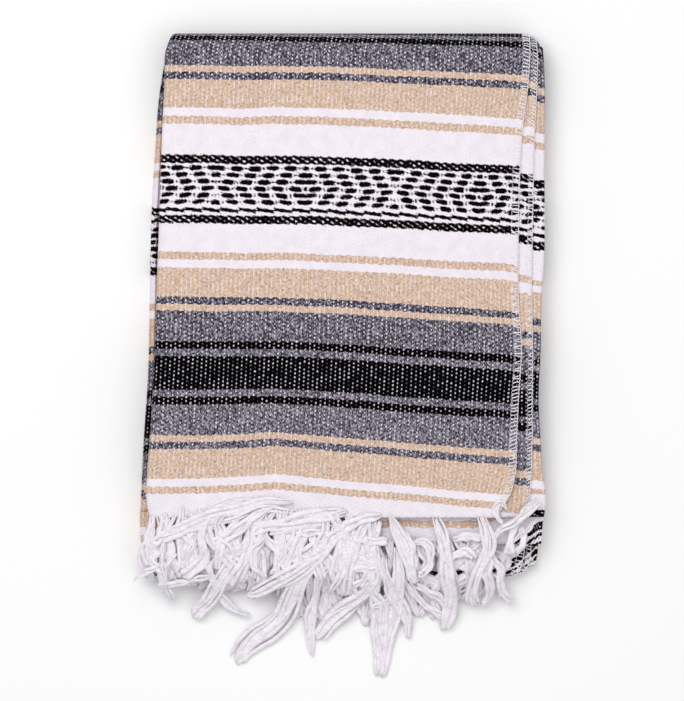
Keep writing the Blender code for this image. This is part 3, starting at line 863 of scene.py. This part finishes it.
def yarn_finish(name, colour, shadow, sheen):
    """White spun yarn: slight change of colour along it, and fine twisted fibres in relief, with shade
    painted into their grooves.
    """
    finish = Finish(name, 0.85, 0.15, sheen)
    turn, run = finish.map_place("yarn")
    tone = finish.noise(finish.joined(turn * 0.15, run * 0.12), 1.0, 3.0)
    fibre = finish.noise(finish.joined(turn * 2.2 + run * 0.9, run * 0.16), 1.0, 2.0)
    # The darker colour is partly random tone along the yarn and partly shade painted into the grooves
    # between its fibres.
    share = finish.step(tone, 0.3, 0.6) * 0.4 + finish.step(fibre, 0.32, 0.55) * 0.6
    finish.give("Base Color", finish.mixed(share, shadow, colour))
    bump = finish.add("ShaderNodeBump", {}, {"Strength": 0.5, "Distance": 0.0006, "Height": fibre})
    finish.give("Normal", bump)
    finish.give("Roughness", 0.80 + 0.12 * fibre)
    return finish.material


def overlock(name, stations, edge, top, lift, stitch_reach, seed):
    """Stitches over one free edge, and the two locking threads, as one mesh."""
    used = cloth_used(stations, top)
    starts = np.arange(0.6 * STITCH_PITCH, used[-1] - 1.5 * STITCH_PITCH, STITCH_PITCH)
    rng = np.random.default_rng(seed)
    starts = starts + rng.normal(0, 0.32 * MM, len(starts))
    reach = stitch_reach + rng.normal(0, 0.5 * MM, len(starts))
    zigzag = ZIGZAG * (-1.0) ** np.arange(len(starts))
    down = np.interp(starts, [0, 80 * MM, 150 * MM, 230 * MM, 300 * MM], [1, 1, 0, 0, -1])
    lean = zigzag * (1 - np.abs(down)) - LEAN * down + rng.normal(0, 0.4 * MM, len(starts))

    def line_at(depth, offset):
        row = np.array([(edge, offset, depth, CLOTH_WIDTH, edge)], dtype=float)
        line = settled(cloth_grid(stations, row)[:, 0])
        if lift:
            line[:, 2] += lift(line)
        return line

    profile = [
        # share of the reach in from the edge, depth from the upper face, share of the lean
        (1.0, -0.1, 1.0), (0.8, 0.32, 0.8), (0.5, 0.38, 0.5), (0.18, 0.28, 0.2),
        (-0.02, -0.5, 0.05), (-0.07, -1.4, 0.0), (-0.02, -2.3, 0.0),
    ]
    paths = []
    for share, depth, slant in profile:
        line = line_at(top + depth * MM, 0.0)
        at_place = starts + slant * lean
        spot = np.stack([np.interp(at_place, used, line[:, k]) for k in range(3)], axis=1)
        spot[:, 0] -= share * reach
        paths.append(spot)
    paths = np.stack(paths, axis=1)
    paths[..., 2] = np.maximum(paths[..., 2], THREAD)
    thick = THREAD * rng.uniform(0.8, 1.25, (len(starts), 1)) * np.ones(paths.shape[:2])
    meshes = [tubes(paths, thick, 5)]
    for offset, depth, size, wander in ((-stitch_reach, 0.1, 0.17, 0.5), (0.15 * MM, -0.4, 0.38, 0.4)):
        run = np.arange(0.3 * STITCH_PITCH, used[-1] - 0.3 * STITCH_PITCH, STITCH_PITCH / 3)
        line = line_at(top + depth * MM, offset)
        path = np.stack([np.interp(run, used, line[:, k]) for k in range(3)], axis=1)
        turn = run / STITCH_PITCH * 2 * math.pi
        path[:, 0] += wander * MM * np.sin(turn) + rng.normal(0, 0.12 * MM, len(run))
        path[:, 2] += 0.12 * MM * np.cos(turn)
        path[:, 2] = np.maximum(path[:, 2], size * MM)
        meshes.append(tubes(path[None], np.full((1, len(path)), size * MM), 5))
    return new_mesh(name, *joined(meshes), overlock_thread, "fringe_yarn")


# Its second colour is shade painted into the thread's fibre grooves, mixed with random tone along it.
overlock_thread = yarn_finish("overlock_thread", linear(250, 247, 252), linear(232, 226, 234), 0.1)
overlock_1 = overlock(
    "overlock_outer", outer_strip(CLOTH_END, FINE), FIRST, top=HALF, lift=corner_lift,
    stitch_reach=5.8 * MM, seed=3,
)
overlock_2 = overlock(
    "overlock_second", outer_strip(SECOND_END, FINE), SECOND, top=HALF - CLOTH - GAP, lift=None,
    stitch_reach=3.6 * MM, seed=5,
)

# Fringe
# The white warp left unwoven at both ends of the cloth, which lie together at the foot of the stack. Its
# soft strands run together in flat locks that cross, loop and tangle, and end in blunt or thin tips.
ROPE_POINTS = 34
ROPE_WIDTH = 4.6  # about how wide a rope of strands is, in pixels
ROPE_FLAT = 0.75
ROPE_SWING = 0.30  # to and fro, as a share of the lock's half width
ROPE_WANDER = 0.5 * MM
ROPE_CROSSING = 0.9 * MM  # how far a rope rises and sinks where it crosses the others
ROPE_THICKEST = 2.3 * MM
BODY_FLAT = 0.16  # height as a share of width
BODY_SHARE = 0.8  # the body's half width as a share of the lock's
LOCK_THINNEST = 1.0 * MM
# Its second colour is shade painted into the yarn's fibre grooves, mixed with random tone along it.
fringe_yarn = yarn_finish("fringe_yarn", linear(249, 244, 250), linear(214, 206, 215), 0.1)
HEIGHTS = np.array([
    # y, upper row, middle row, lower row, in millimetres, before the stack settles
    (-95.0, 45.2, 34.6, 27.4),
    (-136.0, 45.2, 34.6, 27.4),
    (-141.0, 44.3, 34.6, 27.4),
    (-148.0, 42.4, 34.8, 27.4),
    (-156.0, 41.2, 35.0, 27.2),
    (-164.0, 40.2, 34.4, 26.8),
    (-173.0, 38.0, 32.4, 26.2),
    (-182.0, 35.2, 29.8, 24.6),
    (-190.0, 32.2, 26.2, 20.6),
    (-198.0, 26.3, 19.2, 12.6),
    (-206.0, 18.8, 11.4, 5.0),
    (-216.0, 11.4, 5.6, 2.4),
    (-232.0, 5.8, 2.7, 2.2),
    (-252.0, 3.2, 2.3, 2.2),
    (-290.0, 2.4, 2.2, 2.2),
]) * MM
# Locks as the photograph shows them, a row each: lift in millimetres, and then x, y and width, in pixels,
# of each place along the lock's middle
UPPER_LOCKS = (
    (2.6, 300, 503, 6, 262, 502, 12, 228, 511, 14, 196, 523, 12, 164, 537, 6),
    (2.0, 250, 511, 8, 214, 519, 14, 182, 531, 13, 158, 542, 6),
    (2.2, 349, 511, 8, 314, 517, 14, 280, 523, 14, 248, 530, 8),
    (1.8, 336, 519, 10, 304, 524, 17, 268, 531, 10),
    (3.0, 276, 506, 6, 254, 515, 10, 236, 530, 11, 214, 545, 7),
    (2.4, 384, 513, 6, 362, 519, 10, 344, 530, 11, 326, 541, 7),
    (1.5, 322, 550, 10, 310, 566, 16, 298, 581, 20, 289, 600, 21, 281, 617, 21, 268, 632, 20, 254, 641, 18,
     243, 653, 14, 235, 670, 9),
    (2.6, 340, 520, 8, 334, 539, 12, 319, 553, 14, 298, 570, 15, 277, 583, 14, 258, 594, 11, 243, 597, 5),
    (0.8, 330, 560, 8, 319, 580, 10, 315, 600, 11, 311, 616, 12, 310, 634, 8, 312, 660, 3),
    (1.2, 382, 562, 12, 376, 577, 16, 366, 592, 18, 350, 604, 19, 334, 617, 18, 324, 630, 12, 315, 644, 6),
    (1.8, 396, 545, 9, 399, 572, 11, 396, 600, 13, 391, 627, 14, 387, 652, 12, 382, 683, 8),
    (0.6, 372, 560, 10, 373, 594, 12, 376, 620, 14, 379, 648, 12, 382, 682, 8),
    (2.4, 376, 548, 7, 379, 578, 9, 383, 608, 10, 385, 642, 7),
    (2.2, 383, 556, 8, 386, 571, 9, 392, 592, 11, 401, 608, 12, 408, 622, 10, 408, 642, 5),
    (2.8, 434, 514, 8, 440, 533, 12, 445, 552, 13, 449, 574, 14, 453, 595, 14, 449, 616, 12, 441, 635, 6),
    (1.2, 408, 584, 6, 418, 599, 8, 434, 613, 8, 444, 619, 5),
    (0.4, 417, 584, 8, 430, 594, 9, 441, 602, 8, 448, 614, 5),
    (3.0, 480, 511, 9, 485, 528, 12, 487, 546, 13, 481, 564, 13, 475, 581, 12, 473, 598, 10, 476, 610, 6),
    (1.4, 487, 548, 7, 491, 562, 8, 491, 580, 9, 489, 597, 8, 481, 608, 5),
    (2.0, 491, 552, 7, 495, 567, 8, 499, 580, 9, 503, 593, 8, 513, 605, 6),
    (2.4, 389, 514, 8, 398, 532, 11, 406, 550, 12, 410, 567, 11, 414, 586, 8),
    (1.6, 403, 531, 6, 412, 545, 8, 414, 558, 8, 412, 571, 6),
    (3.2, 412, 544, 5, 421, 541, 7, 430, 549, 8, 430, 562, 8, 426, 573, 7, 416, 577, 5),
    (1.0, 376, 553, 6, 372, 564, 8, 365, 578, 8, 359, 589, 6),
    (2.8, 368, 621, 4, 373, 610, 6, 385, 605, 6, 394, 601, 4),
    (1.6, 343, 570, 4, 350, 581, 5, 358, 596, 4),
    (2.2, 372, 568, 5, 364, 579, 6, 354, 588, 5),
    (1.2, 176, 552, 8, 167, 564, 9, 152, 570, 7, 141, 575, 4, 132, 582, 2),
    (0.8, 161, 556, 9, 162, 576, 13, 166, 590, 11, 171, 603, 3),
    (1.8, 250, 542, 8, 240, 556, 11, 227, 571, 12, 216, 588, 13, 206, 602, 13, 196, 614, 11, 191, 622, 7),
    (0.8, 205, 560, 8, 212, 577, 9, 221, 598, 8, 232, 610, 6, 251, 617, 2),
    (1.4, 212, 577, 6, 190, 581, 8, 172, 585, 8, 157, 589, 5),
    (3.0, 252, 524, 6, 250, 543, 8, 240, 565, 9, 229, 588, 6),
    (4.6, 226, 512, 4, 218, 524, 5, 219, 538, 5, 230, 546, 5, 238, 556, 4),
    (2.6, 198, 534, 5, 190, 549, 6, 181, 570, 4),
    (1.0, 272, 498, 4, 228, 504, 7, 201, 520, 9, 180, 531, 8, 163, 537, 5),
    (2.0, 255, 506, 4, 221, 514, 7, 191, 526, 8, 160, 532, 4),
    (0.6, 300, 513, 4, 268, 509, 6, 240, 519, 7, 222, 535, 6),
    (2.0, 152, 527, 6, 150, 548, 7, 154, 565, 7, 166, 572, 5),
    (3.2, 165, 536, 4, 162, 558, 6, 164, 576, 5, 163, 590, 3),
    (2.2, 203, 538, 4, 206, 558, 6, 211, 575, 4),
    (2.4, 212, 560, 7, 228, 554, 10, 242, 547, 9, 251, 528, 6),
    (3.0, 284, 534, 5, 282, 556, 7, 273, 577, 5),
    (3.4, 266, 537, 5, 254, 552, 7, 256, 569, 7, 268, 579, 5),
    (2.0, 282, 527, 4, 304, 533, 7, 328, 529, 5),
    (1.6, 284, 562, 8, 306, 556, 15, 322, 546, 14, 334, 536, 8),
    (2.4, 331, 512, 8, 338, 525, 10, 341, 537, 8),
    (3.4, 543, 502, 6, 530, 511, 8, 514, 521, 8, 500, 530, 7, 491, 540, 5),
    (2.2, 537, 497, 4, 522, 514, 6, 512, 533, 8, 509, 556, 7),
    (1.2, 521, 526, 5, 523, 542, 7, 517, 554, 5),
    (1.0, 452, 541, 8, 466, 535, 10, 482, 539, 8),
    (1.0, 447, 560, 8, 466, 553, 11, 480, 559, 8),
    (2.4, 437, 546, 4, 446, 558, 6, 450, 571, 4),
    (1.2, 336, 562, 10, 358, 567, 15, 380, 562, 10),
    (0.8, 338, 551, 8, 354, 549, 13, 374, 558, 9),
    (2.2, 350, 534, 5, 367, 542, 8, 388, 539, 6),
    (2.0, 508, 511, 3, 500, 502, 5, 495, 512, 5, 503, 524, 4),
    (1.4, 536, 520, 3, 528, 530, 4, 514, 541, 4, 504, 553, 3),
)
# Where the tangle between those locks starts and ends, left to right: x, y start, y end, in pixels
UPPER_TANGLE = np.array([
    (150, 510, 572), (180, 508, 580), (220, 506, 582), (260, 505, 588), (300, 506, 590), (340, 510, 600),
    (384, 514, 606)
])
MIDDLE_TANGLE = np.array([
    (150, 536, 584), (180, 532, 592), (215, 530, 595), (232, 530, 590), (260, 528, 598), (285, 528, 606),
    (310, 530, 626), (330, 532, 630), (350, 532, 622), (372, 534, 634), (386, 536, 650), (400, 536, 636),
    (420, 536, 622), (440, 534, 626), (458, 538, 606), (476, 538, 598), (492, 540, 604), (500, 544, 602)
])
LOWER_TANGLE = np.array([
    (148, 549, 584), (190, 549, 592), (250, 549, 597), (300, 549, 600), (420, 549, 602), (470, 549, 597),
    (496, 552, 600)
])


def tangle(count, table, reach, rng):
    """Locks at random, from the starting line to the ending line, through two bends to either side.

    Each ends to the left or right of its start by a normal spread of the reach, in pixels. Gives rows like
    those of the table of locks.
    """
    low = table[0, 0]
    high = table[-1, 0]
    x0 = low + (np.arange(count) + rng.uniform(0, 1, count)) / count * (high - low)
    x1 = np.clip(x0 + rng.normal(0, reach, count), low, high)
    y0 = np.interp(x0, table[:, 0], table[:, 1]) + rng.uniform(-3, 7, count)
    y1 = np.interp(x1, table[:, 0], table[:, 2]) - rng.uniform(0, 1, count) ** 2 * 16
    sway = rng.normal(0, 8, (count, 2))
    rows = []
    for k in range(count):
        bend_1 = (x0[k] * 0.7 + x1[k] * 0.3 + sway[k, 0], y0[k] * 0.66 + y1[k] * 0.34, rng.uniform(7, 12))
        bend_2 = (x0[k] * 0.3 + x1[k] * 0.7 + sway[k, 1], y0[k] * 0.32 + y1[k] * 0.68, rng.uniform(7, 12))
        tip = (x1[k], y1[k], rng.uniform(3, 8))
        rows.append((rng.uniform(-0.8, 2.6), x0[k], y0[k], 8, *bend_1, *bend_2, *tip))
    return tuple(rows)


# Where the foot of the stack or the floor shows between the locks: x, y and reach, in pixels
GAPS = ((433, 573, 9), (461, 572, 11), (494, 572, 8.5), (464, 590, 7), (421, 563, 8.5), (382, 592, 8.5))


def led_aside(middle):
    """A lock's way led round the gaps: aside by what it lacks of the reach, times exp(-(y / reach)^2)."""
    for x, y, pixels in GAPS:
        apart = middle - from_photo([(x, y)])
        reach = pixels * PIXEL
        nearest = np.abs(apart[..., 1]).argmin()
        side = 1.0 if apart[..., 0].flat[nearest] > 0 else -1.0
        lack = np.maximum(reach - side * apart[..., 0], 0) * np.exp(-((apart[..., 1] / reach) ** 2))
        middle = np.stack([middle[..., 0] + side * lack, middle[..., 1]], axis=-1)
    return middle


def lock_paths(row, column, rng):
    """One lock's thin body and the ropes of strands on it: paths and radii, the body's first.

    Each rope keeps its slot across the lock's width, swings to and fro by a third of it, over and under
    its neighbours, and ends near the tip, the outer ones first. The height is the row's plus the lift.
    """
    lift = row[0]
    way = np.reshape(row[1:], (-1, 3)).astype(float)
    ropes = max(2, int(round(way[:, 2].max() / ROPE_WIDTH)))
    place = from_photo(way[:, :2])
    knots = np.concatenate([[0], np.cumsum(np.linalg.norm(np.diff(place, axis=0), axis=1))])
    slot = np.concatenate([[0], np.linspace(-1, 1, ropes) * (1 - 1 / ropes) + rng.normal(0, 0.06, ropes)])
    end = np.concatenate([[0.98], 1 - 0.04 * slot[1:] ** 2 - rng.uniform(0, 0.04, ropes)])
    start = rng.uniform(0, 0.06, ropes + 1)
    t = np.linspace(0, 1, ROPE_POINTS)
    s = (start[:, None] + t * (end - start)[:, None]) * knots[-1]
    middle = led_aside(np.stack([through(s, knots, place[:, k]) for k in (0, 1)], axis=2))
    ahead = np.gradient(middle, axis=1)
    ahead /= np.linalg.norm(ahead, axis=2, keepdims=True)
    side = np.stack([-ahead[..., 1], ahead[..., 0]], axis=2)
    phase = rng.uniform(0, 2 * math.pi, (4, ropes + 1, 1))
    turns = rng.uniform(0.5, 1.3, (ropes + 1, 1))
    rope = np.arange(ropes + 1)[:, None] > 0
    across = slot[:, None] + ROPE_SWING * rope * np.sin(2 * math.pi * turns * t + phase[0])
    wander = ROPE_WANDER * rope * np.sin(2 * math.pi * 2.7 * t + phase[1])
    half = np.maximum(through(s, knots, way[:, 2]) * PIXEL / 2 * (1 + 0.4 * t**8), LOCK_THINNEST)
    flat = middle + side * (across * half + wander)[..., None]
    table = HEIGHTS[::-1]
    height = np.interp(flat[..., 1], table[:, 0], table[:, column])
    over = rope * (ROPE_CROSSING + ROPE_CROSSING * np.sin(2 * math.pi * (turns + 0.4) * t + phase[2]))
    loose = np.interp(height, [3 * MM, 14 * MM], [0.45, 1.0])
    height = height + (lift * MM + over) * loose
    paths = np.concatenate([flat, height[..., None]], axis=2)
    rounded = np.sqrt(1.04 - t**40) * (1 - 0.7 * (1 - t) ** 7)
    uneven = rng.uniform(0.85, 1.2, (ropes + 1, 1)) + 0.14 * np.sin(2 * math.pi * 1.9 * t + phase[3])
    rope_radius = np.minimum(1.05 * half / ropes, ROPE_THICKEST) * uneven
    radii = np.where(rope, rope_radius, BODY_SHARE * half) * rounded
    return paths, radii


def fringe_row(name, node, locks, column, seed):
    """One row of the fringe, which rests on the settled stack and on the floor."""
    rng = np.random.default_rng(seed)
    pairs = [lock_paths(row, column, rng) for row in locks]
    meshes = []
    for part, sides, flat in ((slice(0, 1), 8, BODY_FLAT), (slice(1, None), 7, ROPE_FLAT)):
        paths = settled(np.concatenate([path[part] for path, _ in pairs]))
        radii = np.concatenate([radius[part] for _, radius in pairs])
        paths[..., 2] = np.maximum(paths[..., 2], flat * radii + 0.2 * MM)
        meshes.append(tubes(paths, radii, sides, flat))
    piece = new_mesh(name, *joined(meshes), fringe_yarn, "fringe_yarn")
    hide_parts(node)
    return piece


upper_locks = tangle(42, UPPER_TANGLE, reach=28, rng=np.random.default_rng(21)) + UPPER_LOCKS
middle_locks = tangle(62, MIDDLE_TANGLE, reach=20, rng=np.random.default_rng(22))
lower_locks = tangle(44, LOWER_TANGLE, reach=22, rng=np.random.default_rng(23))
row_1 = fringe_row("fringe_row_upper", "fringe_upper", upper_locks, column=1, seed=11)
row_2 = fringe_row("fringe_row_middle", "fringe_middle", middle_locks, column=2, seed=12)
row_3 = fringe_row("fringe_row_lower", "fringe_lower", lower_locks, column=3, seed=13)

# The length of cloth in the inner packets
packet_length = float(cloth_used(inner_strip(4 * MM))[-1])

# The studio
# A plain pale floor, soft light from above and all round, and a camera straight above the blanket.
FLOOR_HALF = 3.0
SKY_STRENGTH = 0.47
floor_corners = [(x * FLOOR_HALF, y * FLOOR_HALF, 0) for x, y in ((-1, -1), (1, -1), (1, 1), (-1, 1))]
floor_mesh = bpy.data.meshes.new("floor")
floor_mesh.from_pydata(floor_corners, [], [(0, 1, 2, 3)])
floor = placed("floor", floor_mesh)
floor_finish = Finish("floor_paper", 0.9, 0.0, 0.0)
floor_finish.shader.inputs["Base Color"].default_value = linear(252, 252, 252)
floor_mesh.materials.append(floor_finish.material)

world = bpy.data.worlds.new("studio")
world.use_nodes = True
world.node_tree.nodes["Background"].inputs["Color"].default_value = (1.0, 1.0, 1.0, 1.0)
world.node_tree.nodes["Background"].inputs["Strength"].default_value = SKY_STRENGTH
bpy.context.scene.world = world


def soft_light(name, place, target, size, power):
    """A square area light at a place, turned to a target."""
    lamp = bpy.data.lights.new(name, "AREA")
    lamp.size = size
    lamp.energy = power
    item = placed(name, lamp)
    item.location = place
    away = np.array(target) - np.array(place)
    flat = math.hypot(away[0], away[1])
    item.rotation_euler = (math.atan2(flat, -away[2]), 0.0, math.atan2(away[0], -away[1]) + math.pi)
    return item


soft_light("window", (-0.5, 0.7, 2.2), (0.0, 0.0, 0.0), size=1.4, power=27.0)
soft_light("fill", (0.7, -0.5, 2.4), (0.0, 0.0, 0.0), size=1.8, power=12.5)

CAMERA_ABOVE = 4.0
TOP_FACE = 40.0 * MM
SENSOR = 36.0
PHOTO_HEIGHT = 701
PHOTO_MIDDLE = (342.0, 350.5)
camera_data = bpy.data.cameras.new("camera")
camera_data.lens = SENSOR * CAMERA_ABOVE / (PHOTO_HEIGHT * PIXEL)
camera = placed("camera", camera_data)
camera.location = (*from_photo(PHOTO_MIDDLE), CAMERA_ABOVE + TOP_FACE)
bpy.context.scene.camera = camera
bpy.context.scene.view_settings.view_transform = "Standard"
